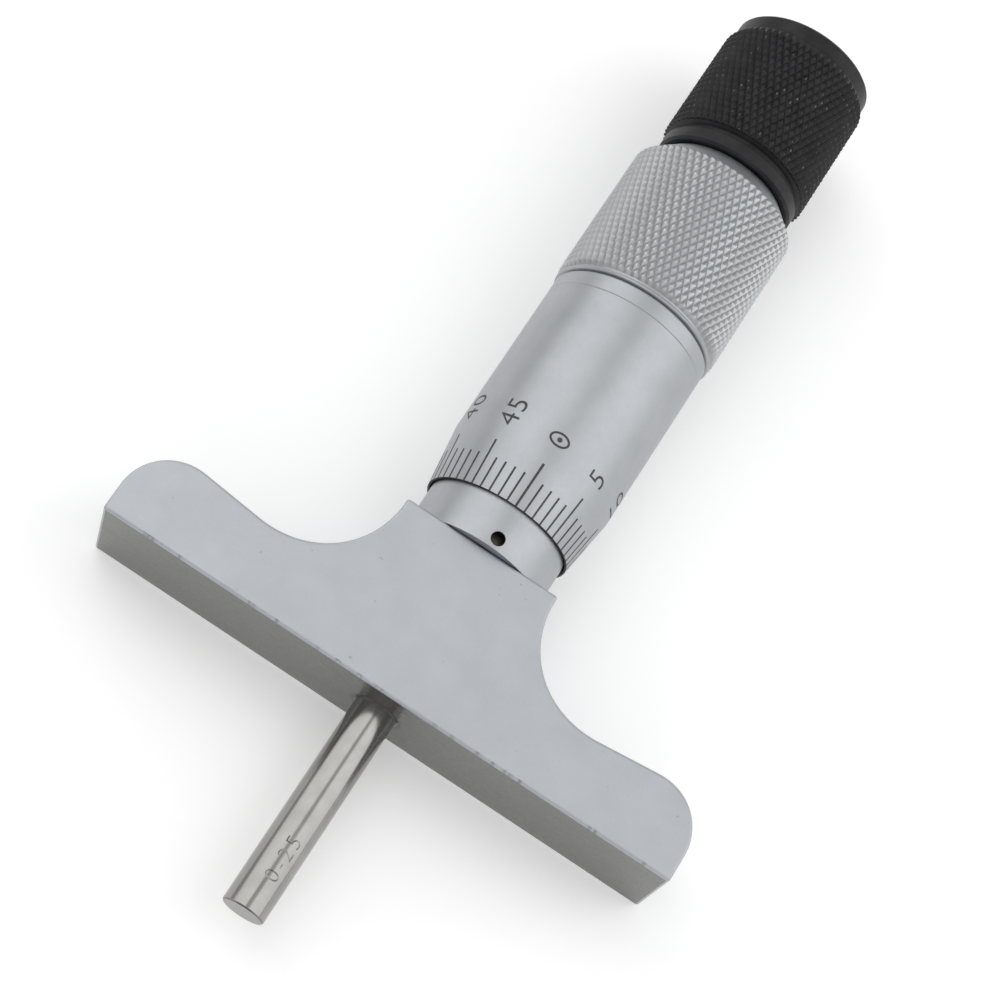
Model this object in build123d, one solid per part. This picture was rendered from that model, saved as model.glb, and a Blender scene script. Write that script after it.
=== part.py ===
from build123d import *
import os
from math import cos, radians, sin, tan

# Depth micrometer with a lift-out rod, lying on its back, in millimetres.
# +Y runs up the spindle axis from the rod's tip to the cap, X runs along the base,
# +Z points out of the base's front. The origin is the axis at the measuring face.

# Base
base_length = 63.5
base_thickness = 12.7
neck_width = 17.2
neck_height = 17.6
neck_straight = 0.4          # plain side of the neck above the hollow
arm_root_height = 6.6        # where the arm's top line meets the neck's side line
arm_slope = 6.0              # degrees that the arm's top rises towards its end
end_corner_radius = 5.5
edge_break = 0.25            # chamfer on handled edges

# Measuring range and the setting that is modelled
travel = 25.0
reading = 23.25              # how far the rod stands out of the measuring face
overrun = 1.25               # spare travel past the longest reading

# Fits, all on the radius
running_gap = 0.05           # rod in its guides, spindle in its nut, cap on its thread
sleeve_gap = 0.03            # sleeve on the barrel
thimble_gap = 0.2            # thimble over the sleeve
loose_gap = 0.3              # pieces that pass without touching

# Rod and its two nuts
rod_diameter = 4.5
rod_tip_chamfer = 0.15
rod_thread_step = 0.45       # the threaded top is this much smaller on the radius
rod_thread_length = 10.0
rod_thread_below = 4.0       # thread that reaches down inside the spindle
rod_nut_wall = 1.4
rod_adjusting_nut_height = 2.6
rod_lock_nut_height = 2.0

# Spindle, hollow for the rod
spindle_wall = 1.7
spindle_below_nut = 2.75     # thread left under the main nut when the rod is drawn right in
seat_step = 1.2              # the thimble's seat is this much larger than the screw
seat_drop = 0.45             # how much the seat tapers in towards the cap
seat_shoulder = 0.8
taper_length = 6.5
nut_thread_step = 0.25       # from the seat in to the thimble nut's thread
cap_thread_step = 0.3        # from that thread in to the cap's thread
cap_thread_length = 7.4

# Inner barrel, with the split main nut at its top
spigot_wall = 0.9
spigot_depth = 11.6
barrel_wall = 2.25
main_nut_length = 16.0
slit_count = 3
slit_width = 0.6
slit_length = 10.0
taper_step = 0.3             # from the barrel in to its tapered thread
taper_drop = 0.4             # how much that thread tapers in towards the top
adjusting_nut_wall = 0.9
adjusting_nut_height = 3.6
nut_notch_count = 3
nut_notch_width = 1.6
nut_notch_depth = 0.6

# Sleeve
sleeve_wall = 1.27
sleeve_showing = 4.75        # length between the neck and the thimble's edge
sleeve_top_gap = 0.3
spanner_hole_diameter = 1.5
spanner_hole_height = 1.1    # above the neck
spanner_hole_angle = 5.5     # degrees from the front towards +X

# Thimble and the nut that holds it on the spindle
thimble_edge_wall = 0.2
thimble_wall = 1.1
knurl_rise = 0.4
bevel_length = 6.65
plain_length = 20.4
knurl_length = 16.2
knurl_foot_chamfer = 0.4
knurl_top_chamfer = 0.7
thimble_nut_wall = 1.9
thimble_nut_height = 2.6
thimble_nut_recess = 3.1

# Cap
cap_wall = 4.1               # from the thread out to the knurl's crests
cap_band_step = 0.43         # from the crests in to the plain band under the knurl
cap_neck_step = 0.62         # from the band in to the undercut neck
cap_ring_step = 0.51         # from the crests in to the plain ring at the end
cap_neck_length = 0.6
cap_band_length = 3.5
cap_knurl_length = 13.65
cap_knurl_chamfer = 0.45
cap_ring_length = 1.8
cap_ring_chamfer = 0.4
cap_seat_gap = 0.1

overshoot = 1.0              # how far cutters pass the faces they cut

# Heights on the axis, worked out from the sizes above
hollow_reach = neck_height - arm_root_height - neck_straight
hollow_radius = hollow_reach * tan(radians(90 - arm_slope) / 2)
spigot_floor = neck_height - spigot_depth
thimble_edge = neck_height + sleeve_showing
bevel_top = thimble_edge + bevel_length
knurl_foot = bevel_top + plain_length
thimble_top = knurl_foot + knurl_length
nut_recess_floor = thimble_top - thimble_nut_recess
web_underside = nut_recess_floor - taper_length
barrel_top = web_underside - (travel - reading) - overrun
adjusting_nut_foot = barrel_top - adjusting_nut_height
sleeve_top = adjusting_nut_foot - sleeve_top_gap
main_nut_foot = barrel_top - main_nut_length
spindle_foot = main_nut_foot - reading - spindle_below_nut
spindle_top = thimble_top + cap_thread_length
rod_shoulder = spindle_top - rod_thread_below
rod_top = rod_shoulder + rod_thread_length
cap_foot = thimble_top + cap_seat_gap
cap_band_foot = cap_foot + cap_neck_length
cap_knurl_foot = cap_band_foot + cap_band_length
cap_knurl_top = cap_knurl_foot + cap_knurl_length
cap_top = cap_knurl_top + cap_ring_length

# Radii, built up from the rod outwards
rod_radius = rod_diameter / 2
rod_thread_radius = rod_radius - rod_thread_step
rod_bore_radius = rod_radius + running_gap
spindle_radius = rod_bore_radius + spindle_wall
seat_large_radius = spindle_radius + seat_step
seat_small_radius = seat_large_radius - seat_drop
nut_thread_radius = seat_small_radius - nut_thread_step
cap_thread_radius = nut_thread_radius - cap_thread_step
main_nut_radius = spindle_radius + running_gap
barrel_bore_radius = spindle_radius + loose_gap
spigot_radius = barrel_bore_radius + spigot_wall
barrel_radius = main_nut_radius + barrel_wall
taper_large_radius = barrel_radius - taper_step
taper_small_radius = taper_large_radius - taper_drop
adjusting_nut_radius = taper_large_radius + adjusting_nut_wall
sleeve_bore_radius = barrel_radius + sleeve_gap
sleeve_radius = sleeve_bore_radius + sleeve_wall
thimble_bore_radius = sleeve_radius + thimble_gap
thimble_edge_radius = thimble_bore_radius + thimble_edge_wall
thimble_radius = thimble_bore_radius + thimble_wall
knurl_radius = thimble_radius + knurl_rise
thimble_nut_radius = nut_thread_radius + thimble_nut_wall
nut_recess_radius = thimble_nut_radius + loose_gap
cap_bore_radius = cap_thread_radius + running_gap
cap_knurl_radius = cap_bore_radius + cap_wall
cap_band_radius = cap_knurl_radius - cap_band_step
cap_neck_radius = cap_band_radius - cap_neck_step
cap_ring_radius = cap_knurl_radius - cap_ring_step


def turned(*points):
    # A half section of (radius, height) points, turned about the spindle axis
    return revolve(make_face(Polyline(*points, close=True)), axis=Axis.Y)


def radial_plane(height, angle):
    # Plane on the axis at a height, facing outwards at an angle from +Z towards +X
    outward = (sin(radians(angle)), 0, cos(radians(angle)))
    return Plane(origin=(0, height, 0), x_dir=(0, 1, 0), z_dir=outward)


def rim_slots(count, width, inner, outer, foot, top):
    # Radial slots evenly spread round the axis, from one radius to another
    middle = (foot + top) / 2
    block = Box(top - foot, width, outer - inner)
    step = 360 / count
    return [radial_plane(middle, step * i) * Pos(0, 0, (inner + outer) / 2) * block for i in range(count)]


def rod_nut(foot, height):
    section = RegularPolygon(rod_thread_radius + rod_nut_wall, 6, major_radius=False)
    seat = Plane(origin=(0, foot, 0), x_dir=(1, 0, 0), z_dir=(0, 1, 0))
    return extrude(seat * (section - Circle(rod_thread_radius)), amount=height)


def notched_ring(lower_bore, upper_bore, outer, foot, top):
    # Ring nut with a plain or tapered bore and spanner notches round its rim
    ring = turned((lower_bore, foot), (outer, foot), (outer, top), (upper_bore, top))
    floor = outer - nut_notch_depth
    rim = outer + overshoot
    return ring - rim_slots(nut_notch_count, nut_notch_width, floor, rim, foot - overshoot, top + overshoot)


def base_outline():
    half = base_length / 2
    side = neck_width / 2
    corner_height = arm_root_height + (half - side) * tan(radians(arm_slope))
    right = FilletPolyline(
        (side, neck_height),
        (side, arm_root_height),
        (half, corner_height),
        (half, 0),
        radius=(hollow_radius, end_corner_radius),
    )
    left = mirror(right, about=Plane.YZ)
    top = Line((-side, neck_height), (side, neck_height))
    foot = Line((-half, 0), (half, 0))
    return make_face([right, foot, left, top])


def make_base():
    blank = extrude(base_outline(), amount=base_thickness / 2, both=True)
    ends = blank.edges().filter_by(Axis.Z).group_by(Axis.Y)[0]
    rims = blank.faces().filter_by(Axis.Z).edges()
    blank = chamfer(ends + rims, edge_break)
    bore = turned(
        (0, -overshoot),
        (rod_bore_radius + edge_break + overshoot, -overshoot),
        (rod_bore_radius, edge_break),
        (rod_bore_radius, spigot_floor),
        (spigot_radius, spigot_floor),
        (spigot_radius, neck_height + overshoot),
        (0, neck_height + overshoot),
    )
    return blank - bore


def make_inner_barrel():
    body = turned(
        (barrel_bore_radius, spigot_floor),
        (spigot_radius, spigot_floor),
        (spigot_radius, neck_height),
        (barrel_radius, neck_height),
        (barrel_radius, sleeve_top),
        (taper_large_radius, sleeve_top),
        (taper_large_radius, adjusting_nut_foot),
        (taper_small_radius, barrel_top),
        (main_nut_radius, barrel_top),
        (main_nut_radius, main_nut_foot),
        (barrel_bore_radius, main_nut_foot - loose_gap),
    )
    slit_foot = barrel_top - slit_length
    return body - rim_slots(
        slit_count, slit_width, 0, barrel_radius + overshoot, slit_foot, barrel_top + overshoot
    )


def make_sleeve():
    tube = turned(
        (sleeve_bore_radius, neck_height),
        (sleeve_radius, neck_height),
        (sleeve_radius, sleeve_top - edge_break),
        (sleeve_radius - edge_break, sleeve_top),
        (sleeve_bore_radius, sleeve_top),
    )
    mouth = radial_plane(neck_height + spanner_hole_height, spanner_hole_angle)
    drill = mouth * Pos(0, 0, sleeve_radius) * Cylinder(spanner_hole_diameter / 2, sleeve_radius)
    return tube - drill


def make_spindle():
    return turned(
        (rod_bore_radius, spindle_foot),
        (spindle_radius, spindle_foot),
        (spindle_radius, web_underside - seat_shoulder),
        (seat_large_radius, web_underside),
        (seat_small_radius, nut_recess_floor),
        (nut_thread_radius, nut_recess_floor),
        (nut_thread_radius, thimble_top),
        (cap_thread_radius, thimble_top),
        (cap_thread_radius, spindle_top - edge_break),
        (cap_thread_radius - edge_break, spindle_top),
        (rod_bore_radius, spindle_top),
    )


def make_thimble():
    return turned(
        (thimble_bore_radius, thimble_edge),
        (thimble_edge_radius, thimble_edge),
        (thimble_radius, bevel_top),
        (thimble_radius, knurl_foot),
        (knurl_radius, knurl_foot + knurl_foot_chamfer),
        (knurl_radius, thimble_top - knurl_top_chamfer),
        (knurl_radius - knurl_top_chamfer, thimble_top),
        (nut_recess_radius, thimble_top),
        (nut_recess_radius, nut_recess_floor),
        (seat_small_radius, nut_recess_floor),
        (seat_large_radius, web_underside),
        (thimble_bore_radius, web_underside),
    )


def make_rod():
    return turned(
        (0, -reading),
        (rod_radius - rod_tip_chamfer, -reading),
        (rod_radius, rod_tip_chamfer - reading),
        (rod_radius, rod_shoulder),
        (rod_thread_radius, rod_shoulder),
        (rod_thread_radius, rod_top - edge_break),
        (rod_thread_radius - edge_break, rod_top),
        (0, rod_top),
    )


def make_cap():
    return turned(
        (cap_bore_radius, cap_foot),
        (cap_neck_radius, cap_foot),
        (cap_neck_radius, cap_band_foot),
        (cap_band_radius, cap_band_foot + cap_neck_length),
        (cap_band_radius, cap_knurl_foot),
        (cap_knurl_radius, cap_knurl_foot + cap_knurl_chamfer),
        (cap_knurl_radius, cap_knurl_top - cap_knurl_chamfer),
        (cap_knurl_radius - cap_knurl_chamfer, cap_knurl_top),
        (cap_ring_radius, cap_knurl_top),
        (cap_ring_radius, cap_top - cap_ring_chamfer),
        (cap_ring_radius - cap_ring_chamfer, cap_top),
        (0, cap_top),
        (0, rod_top),
        (cap_bore_radius, rod_top),
    )


rod_lock_nut_foot = spindle_top + rod_adjusting_nut_height
thimble_nut_top = nut_recess_floor + thimble_nut_height
pieces = {
    "base": make_base(),
    "inner_barrel": make_inner_barrel(),
    "adjusting_nut": notched_ring(
        taper_large_radius, taper_small_radius, adjusting_nut_radius, adjusting_nut_foot, barrel_top
    ),
    "sleeve": make_sleeve(),
    "spindle": make_spindle(),
    "thimble": make_thimble(),
    "thimble_nut": notched_ring(
        nut_thread_radius, nut_thread_radius, thimble_nut_radius, nut_recess_floor, thimble_nut_top
    ),
    "rod": make_rod(),
    "rod_adjusting_nut": rod_nut(spindle_top, rod_adjusting_nut_height),
    "rod_lock_nut": rod_nut(rod_lock_nut_foot, rod_lock_nut_height),
    "thimble_cap": make_cap(),
}

os.makedirs("parts", exist_ok=True)
for name, piece in pieces.items():
    export_step(piece, f"parts/{name}.step")
    print(name, round(piece.volume, 1))
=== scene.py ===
import bpy
import bmesh
import math
import random
from mathutils import Matrix, Vector


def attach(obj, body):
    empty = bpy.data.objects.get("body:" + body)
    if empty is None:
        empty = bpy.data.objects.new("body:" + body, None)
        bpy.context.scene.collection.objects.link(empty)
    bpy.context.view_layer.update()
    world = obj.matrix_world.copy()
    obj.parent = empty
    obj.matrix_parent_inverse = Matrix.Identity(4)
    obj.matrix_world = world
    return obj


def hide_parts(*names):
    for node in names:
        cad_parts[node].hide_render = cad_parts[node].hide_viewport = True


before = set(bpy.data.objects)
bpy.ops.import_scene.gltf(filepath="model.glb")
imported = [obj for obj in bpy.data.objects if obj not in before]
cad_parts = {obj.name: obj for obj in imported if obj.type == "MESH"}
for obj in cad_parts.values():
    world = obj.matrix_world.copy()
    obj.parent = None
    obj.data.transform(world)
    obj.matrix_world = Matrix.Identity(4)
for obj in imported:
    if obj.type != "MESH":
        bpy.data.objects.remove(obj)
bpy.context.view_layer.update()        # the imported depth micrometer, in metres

scene = bpy.context.scene
scene.view_settings.view_transform = "Standard"
mm = 0.001               # pieces are drawn in millimetres and scaled once, at the end
spindleAxis = (0, 1, 0)


# Finishes

def startMaterial(name):
    material = bpy.data.materials.new(name)
    material.use_nodes = True
    tree = material.node_tree
    place = tree.nodes.new("ShaderNodeTexCoord").outputs["Object"]
    return material, tree, tree.nodes["Principled BSDF"], place


def stretched(tree, place, scale):
    mapping = tree.nodes.new("ShaderNodeMapping")
    mapping.inputs["Scale"].default_value = scale
    tree.links.new(place, mapping.inputs["Vector"])
    return mapping.outputs["Vector"]


def noiseOn(tree, place, scale, detail=3.0, roughness=0.55):
    noise = tree.nodes.new("ShaderNodeTexNoise")
    noise.inputs["Scale"].default_value = scale
    noise.inputs["Detail"].default_value = detail
    noise.inputs["Roughness"].default_value = roughness
    tree.links.new(place, noise.inputs["Vector"])
    return noise.outputs["Fac"]


def spread(tree, value, low, high, toLow, toHigh):
    mapRange = tree.nodes.new("ShaderNodeMapRange")
    for socket, number in zip(("From Min", "From Max", "To Min", "To Max"), (low, high, toLow, toHigh)):
        mapRange.inputs[socket].default_value = number
    tree.links.new(value, mapRange.inputs["Value"])
    return mapRange.outputs["Result"]


def arithmetic(tree, operation, first, second):
    node = tree.nodes.new("ShaderNodeMath")
    node.operation = operation
    for socket, value in zip(node.inputs, (first, second)):
        if isinstance(value, (int, float)):
            socket.default_value = value
        else:
            tree.links.new(value, socket)
    return node.outputs[0]


def blendColours(tree, fac, first, second):
    mix = tree.nodes.new("ShaderNodeMix")
    mix.data_type = "RGBA"
    tree.links.new(fac, mix.inputs["Factor"])
    for socket, value in zip((mix.inputs[6], mix.inputs[7]), (first, second)):
        if isinstance(value, tuple):
            socket.default_value = (*value, 1)
        else:
            tree.links.new(value, socket)
    return mix.outputs[2]


def addBump(tree, shader, height, strength, depth, before=None):
    bump = tree.nodes.new("ShaderNodeBump")
    bump.inputs["Strength"].default_value = strength
    bump.inputs["Distance"].default_value = depth
    tree.links.new(height, bump.inputs["Height"])
    if before:
        tree.links.new(before, bump.inputs["Normal"])
    tree.links.new(bump.outputs["Normal"], shader.inputs["Normal"])
    return bump.outputs["Normal"]


def radiusOf(tree, place):
    split = tree.nodes.new("ShaderNodeSeparateXYZ")
    tree.links.new(place, split.inputs["Vector"])
    across = arithmetic(tree, "MULTIPLY", split.outputs["X"], split.outputs["X"])
    deep = arithmetic(tree, "MULTIPLY", split.outputs["Z"], split.outputs["Z"])
    return arithmetic(tree, "SQRT", arithmetic(tree, "ADD", across, deep), 0.0)


def heightOf(tree, place):
    split = tree.nodes.new("ShaderNodeSeparateXYZ")
    tree.links.new(place, split.inputs["Vector"])
    return split.outputs["Y"]


def mottled(tree, value, finish):
    # from the finish's dark tone to its light one
    return blendColours(tree, spread(tree, value, 0.3, 0.7, 0, 1), finish["dark"], finish["light"])


def roughen(tree, shader, value, low, high, finish):
    tree.links.new(spread(tree, value, low, high, *finish["roughness"]), shader.inputs["Roughness"])


satinFinish = {
    "light": (0.482, 0.497, 0.523),
    "dark": (0.448, 0.463, 0.489),
    "speck": (0.30, 0.30, 0.31),
    "mottle": 260,             # noise scales are per metre
    "grain": 5200,
    "speckScale": 1500,
    "roughness": (0.44, 0.56),
    "bump": (0.30, 0.00002),   # strength, and depth in metres
}


def satinChrome():
    material, tree, shader, place = startMaterial("satinChrome")
    mottle = noiseOn(tree, place, satinFinish["mottle"], 4)
    grain = noiseOn(tree, place, satinFinish["grain"], 2)
    tone = mottled(tree, mottle, satinFinish)
    specks = noiseOn(tree, place, satinFinish["speckScale"], 2, 0.4)
    tone = blendColours(tree, spread(tree, specks, 0.76, 0.80, 0, 0.7), tone, satinFinish["speck"])
    tree.links.new(tone, shader.inputs["Base Color"])
    roughen(tree, shader, grain, 0.25, 0.75, satinFinish)
    shader.inputs["Metallic"].default_value = 1.0
    addBump(tree, shader, grain, *satinFinish["bump"])
    return material


lappedFinish = {
    # the lapped face's tone is partly its own duller finish and partly painted shade, set darker for the
    # downward measuring face
    "light": (0.18, 0.18, 0.17),
    "dark": (0.138, 0.138, 0.13),
    # colour of the painted shade round the bore
    "boreShade": (0.05, 0.05, 0.045),
    "boreShadeRing": (2.45, 3.1),    # radii in mm between which the painted shade round the bore thins out
    "streak": (90, 300, 700),
    "fine": (900, 900, 6000),
    "roughness": (0.20, 0.34),
    "bump": (0.12, 0.00001),
}


def lappedSteel():
    material, tree, shader, place = startMaterial("lappedSteel")
    streaks = noiseOn(tree, stretched(tree, place, lappedFinish["streak"]), 1.0, 5, 0.6)
    fine = noiseOn(tree, stretched(tree, place, lappedFinish["fine"]), 1.0, 3)
    both = arithmetic(tree, "MULTIPLY", streaks, spread(tree, fine, 0.2, 0.8, 0.85, 1.15))
    tone = mottled(tree, both, lappedFinish)
    # painted shade: the lapped face is darkened round the bore, where the rod comes out
    inner, outer = lappedFinish["boreShadeRing"]
    boreShade = spread(tree, radiusOf(tree, place), inner * mm, outer * mm, 0.8, 0)
    tone = blendColours(tree, boreShade, tone, lappedFinish["boreShade"])
    tree.links.new(tone, shader.inputs["Base Color"])
    roughen(tree, shader, both, 0.3, 0.7, lappedFinish)
    shader.inputs["Metallic"].default_value = 1.0
    addBump(tree, shader, fine, *lappedFinish["bump"])
    return material


scaleFinish = {
    "light": (0.425, 0.437, 0.455),
    "dark": (0.39, 0.403, 0.42),
    # near-black painted shade for the spanner hole and the bore
    "holeShade": (0.008, 0.008, 0.008),
    "lay": (300, 9000, 300),   # fine turning lines round the axis
    "grain": 4200,
    "mottle": 320,
    "roughness": (0.38, 0.48),
    "layBump": (0.06, 0.00001),
    "grainBump": (0.14, 0.00001),
    "shadeInside": 7.45,       # radius in mm below which the sleeve is painted near-black, as painted shade in its hole and bore
    "shadeAbove": 17.75,       # height in mm that leaves the sleeve's end face bright
    "shadeFade": 0.1,
}


def satinScale():
    material, tree, shader, place = startMaterial("satinScale")
    lay = noiseOn(tree, stretched(tree, place, scaleFinish["lay"]), 1.0, 3)
    grain = noiseOn(tree, place, scaleFinish["grain"], 2)
    tone = mottled(tree, noiseOn(tree, place, scaleFinish["mottle"], 4), scaleFinish)
    # painted shade: the sleeve's inside and its spanner hole are coloured near-black
    edge, foot = scaleFinish["shadeInside"] * mm, scaleFinish["shadeAbove"] * mm
    fade = scaleFinish["shadeFade"] * mm
    inside = spread(tree, radiusOf(tree, place), edge - fade, edge, 1, 0)
    above = spread(tree, heightOf(tree, place), foot, foot + fade, 0, 1)
    tone = blendColours(tree, arithmetic(tree, "MULTIPLY", inside, above), tone, scaleFinish["holeShade"])
    tree.links.new(tone, shader.inputs["Base Color"])
    roughen(tree, shader, grain, 0.25, 0.75, scaleFinish)
    shader.inputs["Metallic"].default_value = 1.0
    first = addBump(tree, shader, lay, *scaleFinish["layBump"])
    addBump(tree, shader, grain, *scaleFinish["grainBump"], first)
    return material


knurlFinish = {
    # the crests are coloured lighter and the grooves darker: painted highlight on the crests and painted
    # shade in the grooves
    "crest": (0.58, 0.595, 0.61),
    "groove": (0.42, 0.43, 0.44),
    "grain": 5200,
    "roughness": (0.38, 0.50),
    "bump": (0.10, 0.00001),
}


def knurledSteel(groove, crest):
    material, tree, shader, place = startMaterial("knurledSteel")
    grain = noiseOn(tree, place, knurlFinish["grain"], 2)
    # painted shade and highlight: darker towards the grooves, lighter towards the crests
    height = spread(tree, radiusOf(tree, place), groove * mm, crest * mm, 0, 1)
    tone = blendColours(tree, height, knurlFinish["groove"], knurlFinish["crest"])
    tree.links.new(tone, shader.inputs["Base Color"])
    roughen(tree, shader, grain, 0.25, 0.75, knurlFinish)
    shader.inputs["Metallic"].default_value = 1.0
    addBump(tree, shader, grain, *knurlFinish["bump"])
    return material


rodFinish = {
    "light": (0.345, 0.34, 0.328),
    "dark": (0.295, 0.29, 0.278),
    # colour of the painted shade at the tip
    "tip": (0.20, 0.197, 0.188),
    "tipShadeTop": -23.1,           # height in mm up to which the tip is painted darker, as painted shade on its chamfer and end face
    "tipShadeFade": 0.04,
    "lay": (5000, 160, 5000),  # drawn out along the rod
    "mottle": 420,
    "roughness": (0.14, 0.22),
    "bump": (0.05, 0.00001),
}


def groundRod():
    material, tree, shader, place = startMaterial("groundRod")
    lay = noiseOn(tree, stretched(tree, place, rodFinish["lay"]), 1.0, 3)
    tone = mottled(tree, noiseOn(tree, place, rodFinish["mottle"], 4), rodFinish)
    # painted shade: the chamfer and end face at the tip are coloured darker
    edge, fade = rodFinish["tipShadeTop"] * mm, rodFinish["tipShadeFade"] * mm
    tipShade = spread(tree, heightOf(tree, place), edge - fade, edge, 1, 0)
    tone = blendColours(tree, tipShade, tone, rodFinish["tip"])
    tree.links.new(tone, shader.inputs["Base Color"])
    roughen(tree, shader, lay, 0.3, 0.7, rodFinish)
    shader.inputs["Metallic"].default_value = 1.0
    addBump(tree, shader, lay, *rodFinish["bump"])
    return material


turnedFinish = {
    "light": (0.55, 0.545, 0.53),
    "dark": (0.38, 0.375, 0.36),
    "rings": (400, 7000, 400),
    "stain": 500,
    "roughness": (0.24, 0.42),
    "bump": (0.2, 0.00001),
}


def turnedSteel():
    material, tree, shader, place = startMaterial("turnedSteel")
    rings = noiseOn(tree, stretched(tree, place, turnedFinish["rings"]), 1.0, 2)
    stain = noiseOn(tree, place, turnedFinish["stain"], 4)
    tree.links.new(mottled(tree, stain, turnedFinish), shader.inputs["Base Color"])
    roughen(tree, shader, rings, 0.3, 0.7, turnedFinish)
    shader.inputs["Metallic"].default_value = 1.0
    addBump(tree, shader, rings, *turnedFinish["bump"])
    return material


# painted shade: the inner barrel is coloured near-black so that the spanner hole over it reads dark
barrelShadeFinish = {
    "light": (0.11, 0.105, 0.09),
    "dark": (0.045, 0.042, 0.036),
    "rings": (400, 7000, 400),
    "blotches": 900,
    "roughness": (0.30, 0.45),
    "bump": (0.2, 0.00001),
}


def oiledSteel():
    material, tree, shader, place = startMaterial("oiledSteel")
    blotches = noiseOn(tree, place, barrelShadeFinish["blotches"], 4)
    rings = noiseOn(tree, stretched(tree, place, barrelShadeFinish["rings"]), 1.0, 2)
    tree.links.new(mottled(tree, blotches, barrelShadeFinish), shader.inputs["Base Color"])
    roughen(tree, shader, blotches, 0.3, 0.7, barrelShadeFinish)
    shader.inputs["Metallic"].default_value = 1.0
    addBump(tree, shader, rings, *barrelShadeFinish["bump"])
    return material


capFinish = {
    "light": (0.022, 0.022, 0.024),
    "dark": (0.010, 0.010, 0.011),
    "worn": (0.30, 0.29, 0.265),
    "wornBand": (0.08, 0.045),     # mm below the unblunted crests where the wear starts and is full
    "rub": 900,
    "stain": 600,
    "grain": 5200,
    "gloss": 0.25,
    "roughness": (0.36, 0.50),
    "bump": (0.12, 0.00001),
}


def blackCap(crest):
    material, tree, shader, place = startMaterial("blackCap")
    grain = noiseOn(tree, place, capFinish["grain"], 2)
    tone = mottled(tree, noiseOn(tree, place, capFinish["stain"], 4), capFinish)
    start, full = capFinish["wornBand"]
    tips = spread(tree, radiusOf(tree, place), (crest - start) * mm, (crest - full) * mm, 0, 1)
    rubbed = spread(tree, noiseOn(tree, place, capFinish["rub"], 3), 0.56, 0.68, 0, 1)
    wear = arithmetic(tree, "MULTIPLY", tips, rubbed)
    tree.links.new(blendColours(tree, wear, tone, capFinish["worn"]), shader.inputs["Base Color"])
    roughen(tree, shader, grain, 0.25, 0.75, capFinish)
    tree.links.new(wear, shader.inputs["Metallic"])
    shader.inputs["Specular IOR Level"].default_value = capFinish["gloss"]
    addBump(tree, shader, grain, *capFinish["bump"])
    return material


markFinish = {
    "light": (0.07, 0.07, 0.068),
    "dark": (0.022, 0.022, 0.024),
    "patch": 2600,
    "roughness": (0.5, 0.7),
}


def markFill():
    material, tree, shader, place = startMaterial("markFill")
    patch = noiseOn(tree, place, markFinish["patch"], 3)
    tree.links.new(mottled(tree, patch, markFinish), shader.inputs["Base Color"])
    roughen(tree, shader, patch, 0.3, 0.7, markFinish)
    return material


etchedFinish = {
    "light": (0.36, 0.35, 0.32),
    "dark": (0.07, 0.067, 0.055),
    "patch": 1500,
    "metallic": 0.6,
    "roughness": (0.40, 0.60),
}


def etchedMark():
    material, tree, shader, place = startMaterial("etchedMark")
    patch = noiseOn(tree, place, etchedFinish["patch"], 3)
    uneven = spread(tree, patch, 0.38, 0.60, 0, 1)
    tone = blendColours(tree, uneven, etchedFinish["dark"], etchedFinish["light"])
    tree.links.new(tone, shader.inputs["Base Color"])
    roughen(tree, shader, patch, 0.3, 0.7, etchedFinish)
    shader.inputs["Metallic"].default_value = etchedFinish["metallic"]
    return material


# Modelling helpers

def keepPiece(name, bm, body, materials, node=None, sharpAngle=30):
    bmesh.ops.scale(bm, vec=(mm, mm, mm), verts=bm.verts)
    mesh = bpy.data.meshes.new(name)
    bm.to_mesh(mesh)
    bm.free()
    mesh.set_sharp_from_angle(angle=math.radians(sharpAngle))
    for face in mesh.polygons:
        face.use_smooth = len(face.vertices) <= 4      # large flat faces stay flat
    for material in materials:
        mesh.materials.append(material)
    piece = bpy.data.objects.new(name, mesh)
    scene.collection.objects.link(piece)
    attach(piece, body)
    if node:
        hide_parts(node)
    print("made", name, "with", len(mesh.polygons), "faces")


def cleanUp(bm):
    bmesh.ops.remove_doubles(bm, verts=bm.verts, dist=1e-4)
    bmesh.ops.recalc_face_normals(bm, faces=bm.faces)


def turn(section, steps, closed=True):
    # a half section of (radius, height) points, spun about the spindle axis
    bm = bmesh.new()
    verts = [bm.verts.new((radius, height, 0)) for radius, height in section]
    edges = [bm.edges.new(pair) for pair in zip(verts, verts[1:])]
    if closed:
        edges.append(bm.edges.new((verts[-1], verts[0])))
    bmesh.ops.spin(bm, geom=verts + edges, cent=(0, 0, 0), axis=spindleAxis, angle=2 * math.pi,
                   steps=steps, use_merge=True)
    cleanUp(bm)
    return bm


def softenRims(bm, offset, segments, angle):
    sharp = math.radians(angle)
    rims = [edge for edge in bm.edges if edge.calc_face_angle(0) > sharp]
    bmesh.ops.bevel(bm, geom=rims, offset=offset, affect="EDGES", segments=segments, profile=0.5,
                    material=-1, clamp_overlap=True)


def carve(bm, tool):
    # cuts one closed shape out of another
    holders = []
    for shape in (bm, tool):
        mesh = bpy.data.meshes.new("carving")
        shape.to_mesh(mesh)
        shape.free()
        holders.append(bpy.data.objects.new("carving", mesh))
        scene.collection.objects.link(holders[-1])
    cut = holders[0].modifiers.new("carving", "BOOLEAN")
    cut.operation = "DIFFERENCE"
    cut.solver = "EXACT"
    cut.object = holders[1]
    bpy.context.view_layer.update()
    carved = holders[0].evaluated_get(bpy.context.evaluated_depsgraph_get())
    mesh = bpy.data.meshes.new_from_object(carved)
    result = bmesh.new()
    result.from_mesh(mesh)
    for holder in holders:
        bpy.data.objects.remove(holder)
    return result


def knurlRows(knurl):
    return [(knurl["crest"], knurl["foot"] + knurl["rowStep"] * row) for row in range(knurl["rows"])]


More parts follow.
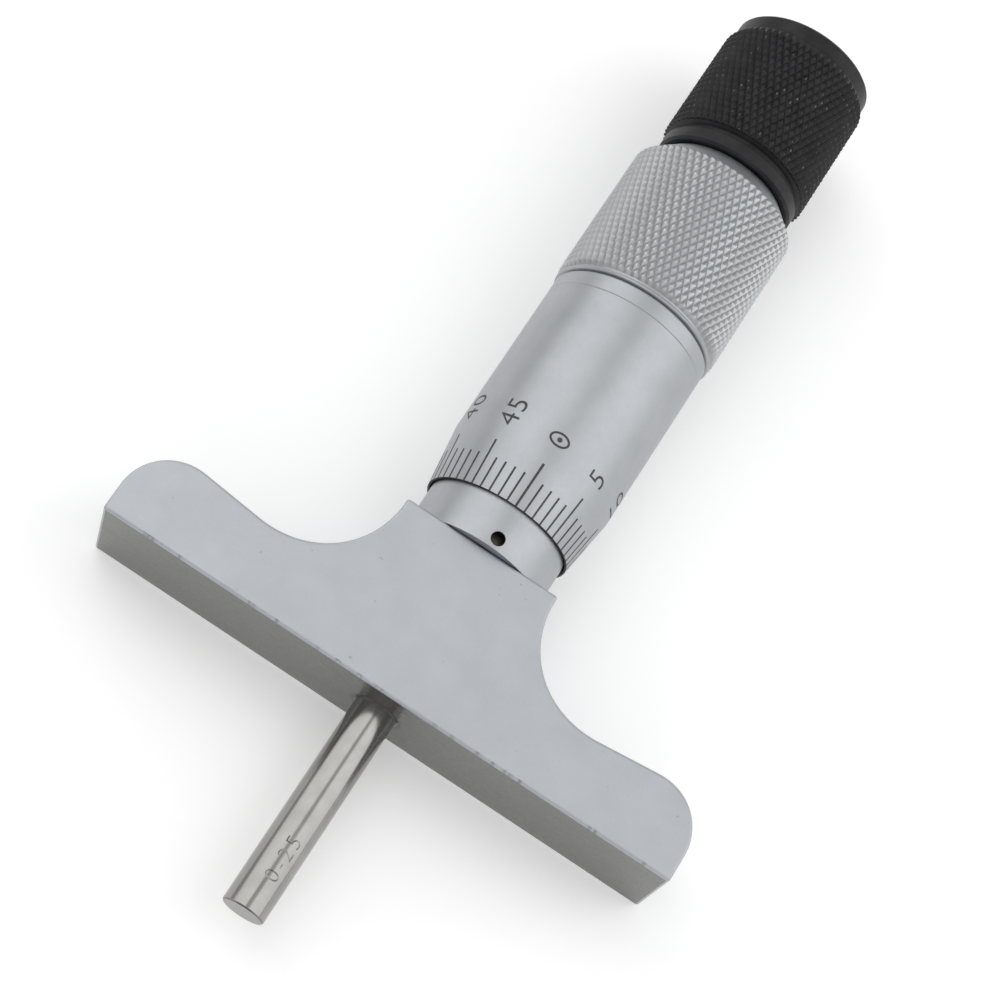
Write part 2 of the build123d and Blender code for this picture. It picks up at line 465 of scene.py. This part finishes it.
def cutKnurl(bm, knurl):
    # every second corner of the band sinks to the grooves, and the others become blunt points
    columnStep = math.pi / knurl["starts"]
    leanStep = math.radians(knurl["lean"])
    top = knurl["foot"] + knurl["rowStep"] * (knurl["rows"] - 1)
    skin = 0.7               # mm below the grooves that leans along with the rows
    points, grooves = set(), set()
    for vert in bm.verts:
        radius = math.hypot(vert.co.x, vert.co.z)
        if radius < knurl["crest"] - 0.001:
            continue
        row = round((vert.co.y - knurl["foot"]) / knurl["rowStep"])
        column = round((math.atan2(vert.co.x, vert.co.z) - math.pi / 2) / columnStep)
        (points if (row + column) % 2 == 0 else grooves).add(vert)
    for face in list(bm.faces):
        if all(vert in points or vert in grooves for vert in face.verts):
            low = [vert for vert in face.verts if vert in grooves]
            bmesh.utils.face_split(face, low[0], low[1])
            face.material_index = 1
    for face in bm.faces:
        if any(vert in points for vert in face.verts):
            face.material_index = 1
    shrink = knurl["groove"] / knurl["crest"]
    for vert in grooves:
        vert.co = (vert.co.x * shrink, vert.co.y, vert.co.z * shrink)
    for vert in bm.verts:
        if vert.co.y > knurl["foot"] and math.hypot(vert.co.x, vert.co.z) > knurl["groove"] - skin:
            rows = (min(vert.co.y, top) - knurl["foot"]) / knurl["rowStep"]
            vert.co.rotate(Matrix.Rotation(leanStep * rows, 3, "Y"))
    bmesh.ops.bevel(bm, geom=list(points), offset=knurl["tip"], affect="VERTICES", segments=1, profile=0.5,
                    material=-1, clamp_overlap=True)
    bmesh.ops.recalc_face_normals(bm, faces=bm.faces)


def addSliced(bm, part, sliceWidth):
    # cuts a flat part into narrow strips, so that it can bend, and adds it to the drawing
    low = min(vert.co.x for vert in part.verts)
    high = max(vert.co.x for vert in part.verts)
    slices = int((high - low) / sliceWidth)
    for i in range(1, slices + 1):
        across = low + (high - low) * i / (slices + 1)
        bmesh.ops.bisect_plane(part, geom=part.verts[:] + part.edges[:] + part.faces[:], dist=1e-6,
                               plane_co=(across, 0, 0), plane_no=(1, 0, 0))
    mesh = bpy.data.meshes.new("drawing")
    part.to_mesh(mesh)
    part.free()
    bm.from_mesh(mesh)


def flatLine(bm, middle, size, lift, sliceWidth=0.35):
    # a filled line in the unrolled drawing: x runs round the piece, y along it, z out of it
    line = bmesh.new()
    place = Matrix.Translation((*middle, 0)) @ Matrix.Diagonal((*size, lift * 2, 1))
    bmesh.ops.create_cube(line, size=1, matrix=place)
    addSliced(bm, line, sliceWidth)


def flatText(bm, text, middle, height, thin, lift, spacing=1.0, sliceWidth=0.35):
    # digits in the unrolled drawing, centred on a point and read along the axis
    letters = bpy.data.curves.new("digits", "FONT")
    letters.body = text
    letters.extrude = lift
    letters.resolution_u = 6
    letters.size = height / 0.69       # the built-in digits are 0.69 of the size high
    letters.offset = -thin
    letters.space_character = spacing
    mesh = bpy.data.meshes.new_from_object(bpy.data.objects.new("digits", letters))
    drawn = bmesh.new()
    drawn.from_mesh(mesh)
    bmesh.ops.remove_doubles(drawn, verts=drawn.verts, dist=1e-4)
    xs = [vert.co.x for vert in drawn.verts]
    ys = [vert.co.y for vert in drawn.verts]
    centre = Vector(((min(xs) + max(xs)) / 2, (min(ys) + max(ys)) / 2, 0))
    bmesh.ops.translate(drawn, vec=-centre, verts=drawn.verts)
    bmesh.ops.rotate(drawn, cent=(0, 0, 0), matrix=Matrix.Rotation(math.pi / 2, 3, "Z"), verts=drawn.verts)
    bmesh.ops.translate(drawn, vec=(*middle, 0), verts=drawn.verts)
    addSliced(bm, drawn, sliceWidth)


def wrapDrawing(bm, radius, radiusAt):
    # lays the unrolled drawing round the piece
    for vert in bm.verts:
        angle = vert.co.x / radius
        out = radiusAt(vert.co.y) + vert.co.z
        vert.co = (out * math.sin(angle), vert.co.y, out * math.cos(angle))
    bmesh.ops.recalc_face_normals(bm, faces=bm.faces)


print("finishes and helpers ready")

satinChromeFinish = satinChrome()
lappedSteelFinish = lappedSteel()
satinScaleFinish = satinScale()
groundRodFinish = groundRod()
turnedSteelFinish = turnedSteel()
barrelShadeSteelFinish = oiledSteel()
markFillFinish = markFill()
etchedMarkFinish = etchedMark()


# Base: a T-shaped plate with hollow shoulders and a worn lower front edge

plate = {
    "halfLength": 31.75,
    "halfThick": 6.35,
    "neckSide": 8.6,
    "neckHeight": 17.6,
    "rootHeight": 6.6,         # where the arm's top line meets the neck's side line
    "armSlope": 6.0,
    "neckStraight": 0.4,
    "endRadius": 5.5,
    "roundSteps": 24,
    "edgeRound": 0.28,
    "boreRadius": 2.3,
    "boreChamfer": 0.25,
    "spigotRadius": 5.2,
    "spigotFloor": 6.0,
    "nickSpacing": 0.22,
    "nickDepth": 0.035,
    "nickSeed": 7,
    "chipAbove": 0.93,         # draws above this add a deeper chip
    "chipSize": 3.0,
}


def makeBase():
    half, side, thick = plate["halfLength"], plate["neckSide"], plate["halfThick"]
    slope = math.radians(plate["armSlope"])
    endHeight = plate["rootHeight"] + (half - side) * math.tan(slope)
    corners = [(half, 0), (half, endHeight), (side, plate["rootHeight"]), (side, plate["neckHeight"])]
    outline = corners + [(-x, y) for x, y in reversed(corners)]
    bm = bmesh.new()
    front = bm.faces.new([bm.verts.new((x, y, thick)) for x, y in outline])
    grown = bmesh.ops.extrude_face_region(bm, geom=[front], use_keep_orig=True)
    back = [item for item in grown["geom"] if isinstance(item, bmesh.types.BMVert)]
    bmesh.ops.translate(bm, vec=(0, 0, -2 * thick), verts=back)
    bmesh.ops.recalc_face_normals(bm, faces=bm.faces)
    hollowReach = plate["neckHeight"] - plate["rootHeight"] - plate["neckStraight"]
    endReach = plate["endRadius"] / math.tan((math.pi / 2 - slope) / 2)
    for x, y, reach in ((side, plate["rootHeight"], hollowReach), (half, endHeight, endReach)):
        upright = [edge for edge in bm.edges if all(
            abs(abs(vert.co.x) - x) < 0.01 and abs(vert.co.y - y) < 0.01 for vert in edge.verts)]
        bmesh.ops.bevel(bm, geom=upright, offset=reach, affect="EDGES", segments=plate["roundSteps"],
                        profile=0.5, material=-1, clamp_overlap=False)
    softenRims(bm, plate["edgeRound"], 3, angle=25)
    wearFrontEdge(bm)
    bm = carve(bm, turn(boreSection(), 64, closed=False))
    bmesh.ops.dissolve_limit(bm, angle_limit=math.radians(0.05), verts=bm.verts, edges=bm.edges)
    for face in bm.faces:
        middle = face.calc_center_median()
        face.material_index = 1 if face.normal.y < -0.99 and abs(middle.y) < 0.05 else 0
    return bm


def wearFrontEdge(bm):
    # small nicks along the lower front edge, always inwards
    thick, soft = plate["halfThick"], plate["edgeRound"]
    long = [edge for edge in bm.edges
            if abs(edge.verts[0].co.x - edge.verts[1].co.x) > plate["halfLength"]
            and all(vert.co.y < soft + 0.01 and vert.co.z > thick - soft - 0.01 for vert in edge.verts)]
    cuts = int(2 * plate["halfLength"] / plate["nickSpacing"])
    bmesh.ops.subdivide_edges(bm, edges=long, cuts=cuts, use_grid_fill=True)
    draw = random.Random(plate["nickSeed"])
    depth = {}
    for vert in bm.verts:
        onEdge = vert.co.y < soft - 0.01 and vert.co.z > thick - soft + 0.01
        if onEdge and abs(vert.co.x) < plate["halfLength"] - 1:
            key = round(vert.co.x / plate["nickSpacing"])
            if key not in depth:
                nick = draw.random() ** 2
                chip = plate["chipSize"] if draw.random() > plate["chipAbove"] else 0
                depth[key] = plate["nickDepth"] * (nick + chip)
            vert.co += Vector((0, 1, -1)) * depth[key]


def boreSection():
    bore, mouth = plate["boreRadius"], plate["boreChamfer"]
    return [(0, -1), (bore + mouth + 1, -1), (bore, mouth), (bore, plate["spigotFloor"]),
            (plate["spigotRadius"], plate["spigotFloor"]), (plate["spigotRadius"], plate["neckHeight"] + 1),
            (0, plate["neckHeight"] + 1)]


keepPiece("tBase", makeBase(), "base",
          [satinChromeFinish, lappedSteelFinish], "base", 25)


# Thimble: bevelled and divided at its lower edge, diamond knurl at its grip

thimbleKnurl = {
    "starts": 68,
    "rows": 20,
    "rowStep": 0.813,
    "foot": 49.75,
    "crest": 9.342,            # the points before they are blunted, which brings them to 9.3
    "groove": 9.02,
    "tip": 0.13,
    "lean": 0.46,              # degrees each row is shifted past the one below
}

thimble = {
    "bore": 7.8,
    "edgeRadius": 8.0,
    "radius": 8.9,
    "edge": 22.35,
    "bevelTop": 29.0,
    "ringLine": 46.7,
    "ringLineHalf": 0.06,
    "ringLineDepth": 0.03,
    "relief": 48.45,
    "reliefHalf": 0.15,
    "reliefDepth": 0.24,
    "beadMiddle": (8.88, 48.83),
    "beadRound": 0.23,
    "beadGap": 0.06,
    "notchRadius": 8.82,
    "notchTop": 49.32,
    "coneFoot": (9.02, 65.42),
    "rimRadius": 7.1,
    "top": 67.5,
    "recessRadius": 6.7,
    "recessFloor": 62.5,
    "seatTop": 4.75,
    "seatFoot": 5.2,
    "webFoot": 56.0,
}


def makeThimble():
    t, k = thimble, thimbleKnurl
    line, lineHalf, lineDepth = t["ringLine"], t["ringLineHalf"], t["ringLineDepth"]
    relief, reliefHalf, reliefFloor = t["relief"], t["reliefHalf"], t["radius"] - t["reliefDepth"]
    beadRadius, beadHeight = t["beadMiddle"]
    bead = [(beadRadius + t["beadRound"] * math.cos(angle), beadHeight + t["beadRound"] * math.sin(angle))
            for angle in (math.radians(step) for step in range(-80, 81, 20))]
    section = [
        (t["bore"], t["edge"]), (t["edgeRadius"], t["edge"]), (t["radius"], t["bevelTop"]),
        (t["radius"], line - lineHalf), (t["radius"] - lineDepth, line), (t["radius"], line + lineHalf),
        (t["radius"], relief - reliefHalf), (reliefFloor, relief - reliefHalf / 2),
        (reliefFloor, relief + reliefHalf / 2),
        *bead,
        (t["notchRadius"], beadHeight + t["beadRound"] + t["beadGap"]), (t["notchRadius"], t["notchTop"]),
        *knurlRows(k),
        t["coneFoot"], (t["rimRadius"], t["top"]), (t["recessRadius"], t["top"]),
        (t["recessRadius"], t["recessFloor"]), (t["seatTop"], t["recessFloor"]),
        (t["seatFoot"], t["webFoot"]), (t["bore"], t["webFoot"]),
    ]
    bm = turn(section, 2 * k["starts"])
    cutKnurl(bm, k)
    for face in bm.faces:
        height = face.calc_center_median().y
        if face.normal.y < -0.9 and height < t["edge"] + 0.01:
            face.material_index = 2      # the lower end face is painted dark, as painted shade in the gap over the sleeve
        elif height > t["coneFoot"][1]:
            face.material_index = 3      # the cone is plain satin, like the base
    return bm


keepPiece("thimbleShell", makeThimble(), "thimble",
          [satinScaleFinish, knurledSteel(thimbleKnurl["groove"], thimbleKnurl["crest"]), markFillFinish,
           satinChromeFinish], "thimble", 20)

divisions = {
    "count": 50,
    "zeroAngle": 2.8,          # degrees from the front towards +X
    "longTop": 27.3,
    "shortTop": 25.6,
    "width": 0.22,
    "zeroWidth": 0.27,
    "lift": 0.008,
    "digitHeight": 2.15,
    "digitThin": 0.02,
    "digitSpacing": 1.12,
    "digitAdvance": 0.78,      # length of one digit along the axis, as a share of its height
    "digitFoot": 28.9,
    "zeroOval": (1.12, 0.78),  # half height and half width of the 0
    "zeroStroke": 0.24,
    "zeroDot": 0.27,
    "zeroHeight": 30.2,
}


def bevelRadius(height):
    t = thimble
    share = (min(height, t["bevelTop"]) - t["edge"]) / (t["bevelTop"] - t["edge"])
    return t["edgeRadius"] + (t["radius"] - t["edgeRadius"]) * share


def flatZero(bm, middle):
    # an oval with a dot in it
    d = divisions
    high, wide = d["zeroOval"]
    zero = bmesh.new()
    edges = []
    for inset in (0, d["zeroStroke"]):
        ring = bmesh.ops.create_circle(zero, segments=40, radius=1)["verts"]
        bmesh.ops.scale(zero, vec=(high - inset, wide - inset, 1), verts=ring)
        edges += {edge for vert in ring for edge in vert.link_edges}
    bmesh.ops.bridge_loops(zero, edges=edges)
    bmesh.ops.create_circle(zero, segments=20, radius=d["zeroDot"], cap_ends=True)
    bmesh.ops.translate(zero, vec=(*middle, d["lift"]), verts=zero.verts)
    grown = bmesh.ops.extrude_face_region(zero, geom=zero.faces[:], use_keep_orig=True)
    under = [item for item in grown["geom"] if isinstance(item, bmesh.types.BMVert)]
    bmesh.ops.translate(zero, vec=(0, 0, -2 * d["lift"]), verts=under)
    addSliced(bm, zero, 0.35)


def makeDivisions():
    d, t = divisions, thimble
    bm = bmesh.new()
    step = 2 * math.pi / d["count"]
    start = math.radians(d["zeroAngle"])
    for i in range(d["count"]):
        number = i if i <= d["count"] // 2 else i - d["count"]
        across = (start + number * step) * t["radius"]
        top = d["longTop"] if i % 5 == 0 else d["shortTop"]
        width = d["zeroWidth"] if i == 0 else d["width"]
        flatLine(bm, (across, (t["edge"] + top) / 2), (width, top - t["edge"]), d["lift"])
        if i == 0:
            flatZero(bm, (across, d["zeroHeight"]))
        elif i % 5 == 0:
            size = d["digitHeight"]
            length = d["digitAdvance"] * size * len(str(i))
            flatText(bm, str(i), (across, d["digitFoot"] + length / 2), size, d["digitThin"], d["lift"],
                     d["digitSpacing"])
    wrapDrawing(bm, t["radius"], bevelRadius)
    return bm


keepPiece("thimbleDivisions", makeDivisions(), "thimble", [markFillFinish])


# Sleeve: its tube is right as it comes, and gets its scale on the back

sleeveScale = {
    "radius": 7.6,
    "datumAngle": 182.8,       # meets the 25 on the thimble at the stored reading
    "zeroHeight": 45.6,
    "range": 25,
    "lineFoot": 18.4,
    "lineTop": 47.4,
    "longMark": 2.0,
    "shortMark": 1.3,
    "halfMark": 1.0,
    "width": 0.14,
    "lift": 0.008,
    "digitHeight": 1.7,
    "digitThin": 0.03,
    "digitGap": 1.2,           # from the long marks to the middle of the digits
}


def makeSleeveScale():
    s = sleeveScale
    bm = bmesh.new()
    datum = (s["width"], s["lineTop"] - s["lineFoot"])
    flatLine(bm, (0, (s["lineFoot"] + s["lineTop"]) / 2), datum, s["lift"])
    for half in range(2 * s["range"] + 1):
        height = s["zeroHeight"] - half / 2
        if half % 2:
            long, side = s["halfMark"], -1
        else:
            long, side = (s["longMark"] if half % 10 == 0 else s["shortMark"]), 1
        flatLine(bm, (side * long / 2, height), (long, s["width"]), s["lift"])
        if half % 10 == 0:
            flatText(bm, str(half // 2), (s["longMark"] + s["digitGap"], height), s["digitHeight"],
                     s["digitThin"], s["lift"])
    wrapDrawing(bm, s["radius"], lambda height: s["radius"])
    bmesh.ops.rotate(bm, cent=(0, 0, 0), matrix=Matrix.Rotation(math.radians(s["datumAngle"]), 3, "Y"),
                     verts=bm.verts)
    return bm


keepPiece("sleeveScaleMarks", makeSleeveScale(), "sleeve", [markFillFinish])


# Rod: ground and polished, threaded at its hidden end, with its range etched near the tip

rod = {
    "radius": 2.25,
    "tip": -23.25,
    "tipChamfer": 0.15,
    "shoulder": 69.0,
    "threadRadius": 1.8,
    "threadDepth": 0.22,
    "threadPitch": 0.5,
    "threadEnds": (0.4, 0.5),  # bare lengths below and above the thread
    "top": 79.0,
    "topChamfer": 0.25,
    "markAngle": 11.7,
    "markMiddle": -17.5,
    "markHeight": 1.55,
    "markSpacing": 1.22,
    "markThin": 0.03,
    "markLift": 0.006,
    "markSlice": 0.12,
}


def addThread(bm, crest, depth, pitch, foot, top, stepsPerTurn=40):
    # a three-cornered ridge swept up a helix, its root just inside the core
    core = crest - depth - 0.05
    turns = (top - foot) / pitch
    corners = [(core, foot - pitch * 0.45), (crest, foot), (core, foot + pitch * 0.45)]
    verts = [bm.verts.new((radius, height, 0)) for radius, height in corners]
    edges = [bm.edges.new((verts[i - 1], verts[i])) for i in range(3)]
    before = set(bm.edges)
    bmesh.ops.spin(bm, geom=verts + edges, cent=(0, 0, 0), axis=spindleAxis, angle=2 * math.pi * turns,
                   dvec=(0, pitch / stepsPerTurn, 0), steps=int(turns * stepsPerTurn), use_merge=False)
    ends = [edge for edge in bm.edges if edge.is_boundary and (edge in edges or edge not in before)]
    bmesh.ops.holes_fill(bm, edges=ends, sides=3)
    bmesh.ops.recalc_face_normals(bm, faces=bm.faces)


def makeRod():
    r = rod
    core = r["threadRadius"] - r["threadDepth"]
    bm = turn([
        (0, r["tip"]), (r["radius"] - r["tipChamfer"], r["tip"]), (r["radius"], r["tip"] + r["tipChamfer"]),
        (r["radius"], r["shoulder"]), (core, r["shoulder"]), (core, r["top"] - r["topChamfer"]),
        (core - r["topChamfer"], r["top"]), (0, r["top"])], 96, closed=False)
    below, above = r["threadEnds"]
    addThread(bm, r["threadRadius"], r["threadDepth"], r["threadPitch"],
              r["shoulder"] + below, r["top"] - above)
    return bm


def makeRodMark():
    r = rod
    bm = bmesh.new()
    flatText(bm, "0-25", (0, r["markMiddle"]), r["markHeight"], r["markThin"], r["markLift"],
             r["markSpacing"], r["markSlice"])
    wrapDrawing(bm, r["radius"], lambda height: r["radius"])
    bmesh.ops.rotate(bm, cent=(0, 0, 0), matrix=Matrix.Rotation(math.radians(r["markAngle"]), 3, "Y"),
                     verts=bm.verts)
    return bm


keepPiece("measuringRod", makeRod(), "rod", [groundRodFinish], "rod", 25)
keepPiece("rodRangeMark", makeRodMark(), "rod", [etchedMarkFinish])


# Cap: blackened, with a plain band, a knurl and a plain end ring

capKnurl = {
    "starts": 63,
    "rows": 16,
    "rowStep": 0.839,
    "foot": 70.07,
    "crest": 8.388,            # the points before they are blunted, which brings them to 8.35
    "groove": 8.08,
    "tip": 0.12,
    "lean": 0.0,
}

cap = {
    "bore": 4.25,
    "foot": 67.6,
    "footBreak": 0.25,
    "bandRadius": 7.92,
    "bandTop": 69.2,
    "bandBreak": 0.1,
    "undercutRadius": 7.57,
    "knurlFoot": 69.75,
    "knurlLead": (0.05, 0.28),     # how far below the grooves the knurl's foot face ends, and how high
    "ringRadius": 7.84,
    "ringFoot": 83.45,
    "ringLead": 0.3,
    "top": 85.25,
    "topChamfer": 0.25,
    "inside": 79.0,
}


def makeCap():
    c, k = cap, capKnurl
    leadIn, leadUp = c["knurlLead"]
    section = [
        (0, c["inside"]), (c["bore"], c["inside"]), (c["bore"], c["foot"]),
        (c["bandRadius"] - c["footBreak"], c["foot"]), (c["bandRadius"], c["foot"] + c["footBreak"]),
        (c["bandRadius"], c["bandTop"] - c["bandBreak"]), (c["bandRadius"] - c["bandBreak"], c["bandTop"]),
        (c["undercutRadius"], c["bandTop"]), (c["undercutRadius"], c["knurlFoot"]),
        (k["groove"] - leadIn, c["knurlFoot"] + leadUp),
        *knurlRows(k),
        (k["groove"], c["ringFoot"] - c["ringLead"]), (c["ringRadius"], c["ringFoot"]),
        (c["ringRadius"], c["top"] - c["topChamfer"]), (c["ringRadius"] - c["topChamfer"], c["top"]),
        (0, c["top"]),
    ]
    bm = turn(section, 2 * k["starts"], closed=False)
    cutKnurl(bm, k)
    for face in bm.faces:
        face.material_index = 0
    return bm


keepPiece("knurledCap", makeCap(), "cap", [blackCap(capKnurl["crest"])], "thimble_cap", 20)


# The sleeve and the inner pieces keep their solids and get a finish

solidFinishes = {
    # the inner barrel carries the near-black painted shade seen through the spanner hole
    "inner_barrel": barrelShadeSteelFinish,
    "adjusting_nut": turnedSteelFinish,
    "spindle": turnedSteelFinish,
    "thimble_nut": turnedSteelFinish,
    "rod_adjusting_nut": turnedSteelFinish,
    "rod_lock_nut": turnedSteelFinish,
    "sleeve": satinScaleFinish,
}
for node, finish in solidFinishes.items():
    for materialSlot in bpy.data.objects[node].material_slots:
        materialSlot.material = finish
print("inner pieces and sleeve dressed")


# Floor, light and camera

studio = {
    "floorSize": 3.0,
    "floorContact": ((0, -6.35), (49.0, -9.3)),    # height and depth of the two places it rests on
    "floorColour": (0.84, 0.84, 0.84),
    "floorRoughness": 0.9,
    "floorGloss": 0.1,
    "floorGlow": 0.25,
    "farGlow": 0.40,           # keeps the far floor as white as the background
    "farFrom": (0.2, 0.6),     # metres over which that glow comes up
    "worldTop": 0.70,
    "worldRim": 0.50,
    "lightAim": (0, 0.03, 0),
}

softBoxes = {
    "rightBox": {"from": (0.73, 0.30, 0.60), "away": 0.60, "size": (0.46, 0.80), "power": 1.18},
    "leftBox": {"from": (-0.55, 0.30, 0.76), "away": 0.60, "size": (0.46, 0.80), "power": 1.13},
    "frontBox": {"from": (0.10, -0.75, 0.65), "away": 0.80, "size": (0.60, 0.30), "power": 0.4},
}

lens = {
    "focal": 104.08,
    "place": (1.296, -78.94, 265.72),
    "aim": (-1.253, 25.073, 0.0),
    "roll": 32.139,
}


def seenDirectly(tree):
    path = tree.nodes.new("ShaderNodeLightPath").outputs
    seen = arithmetic(tree, "MAXIMUM", path["Is Camera Ray"], path["Is Glossy Ray"])
    return arithmetic(tree, "MAXIMUM", seen, path["Is Transmission Ray"])


def makeFloor():
    (nearY, nearZ), (farY, farZ) = studio["floorContact"]
    tilt = math.atan2(farZ - nearZ, farY - nearY)
    bm = bmesh.new()
    bmesh.ops.create_grid(bm, x_segments=2, y_segments=2, size=studio["floorSize"] / 2)
    bmesh.ops.rotate(bm, cent=(0, 0, 0), matrix=Matrix.Rotation(tilt, 3, "X"), verts=bm.verts)
    bmesh.ops.translate(bm, vec=(0, nearY * mm, nearZ * mm - 0.00002), verts=bm.verts)
    mesh = bpy.data.meshes.new("paleFloor")
    bm.to_mesh(mesh)
    bm.free()
    material, tree, shader, place = startMaterial("paleFloor")
    shader.inputs["Base Color"].default_value = (*studio["floorColour"], 1)
    shader.inputs["Roughness"].default_value = studio["floorRoughness"]
    shader.inputs["Specular IOR Level"].default_value = studio["floorGloss"]
    shader.inputs["Emission Color"].default_value = (1, 1, 1, 1)
    glow = arithmetic(tree, "MULTIPLY", seenDirectly(tree), studio["floorGlow"])
    distance = tree.nodes.new("ShaderNodeVectorMath")
    distance.operation = "LENGTH"
    tree.links.new(place, distance.inputs[0])
    far = spread(tree, distance.outputs["Value"], *studio["farFrom"], 0, studio["farGlow"])
    camera = tree.nodes.new("ShaderNodeLightPath").outputs["Is Camera Ray"]
    glow = arithmetic(tree, "ADD", glow, arithmetic(tree, "MULTIPLY", far, camera))
    tree.links.new(glow, shader.inputs["Emission Strength"])
    mesh.materials.append(material)
    floor = bpy.data.objects.new("paleFloor", mesh)
    scene.collection.objects.link(floor)


def makeWorld():
    world = bpy.data.worlds.new("studio")
    scene.world = world
    world.use_nodes = True
    tree = world.node_tree
    background = tree.nodes["Background"]
    background.inputs["Color"].default_value = (1, 1, 1, 1)
    direction = tree.nodes.new("ShaderNodeSeparateXYZ")
    tree.links.new(tree.nodes.new("ShaderNodeTexCoord").outputs["Generated"], direction.inputs["Vector"])
    sky = spread(tree, direction.outputs["Z"], 0, 1, studio["worldRim"], studio["worldTop"])
    camera = tree.nodes.new("ShaderNodeLightPath").outputs["Is Camera Ray"]
    tree.links.new(arithmetic(tree, "MAXIMUM", sky, camera), background.inputs["Strength"])


def makeSoftBoxes():
    middle = Vector(studio["lightAim"])
    for name, box in softBoxes.items():
        light = bpy.data.lights.new(name, "AREA")
        light.shape = "RECTANGLE"
        light.size, light.size_y = box["size"]
        light.energy = box["power"]
        holder = bpy.data.objects.new(name, light)
        away = Vector(box["from"]).normalized()
        holder.location = middle + away * box["away"]
        holder.rotation_euler = away.to_track_quat("Z", "Y").to_euler()
        scene.collection.objects.link(holder)


def makeCamera():
    view = bpy.data.cameras.new("photoView")
    view.lens = lens["focal"]
    view.clip_start = 0.01
    camera = bpy.data.objects.new("photoView", view)
    place, aim = Vector(lens["place"]) * mm, Vector(lens["aim"]) * mm
    look = (aim - place).to_track_quat("-Z", "Y").to_matrix()
    turned = look @ Matrix.Rotation(math.radians(lens["roll"]), 3, "Z")
    camera.matrix_world = Matrix.Translation(place) @ turned.to_4x4()
    scene.collection.objects.link(camera)
    scene.camera = camera


makeFloor()
makeWorld()
makeSoftBoxes()
makeCamera()
print("stage, light and camera set")
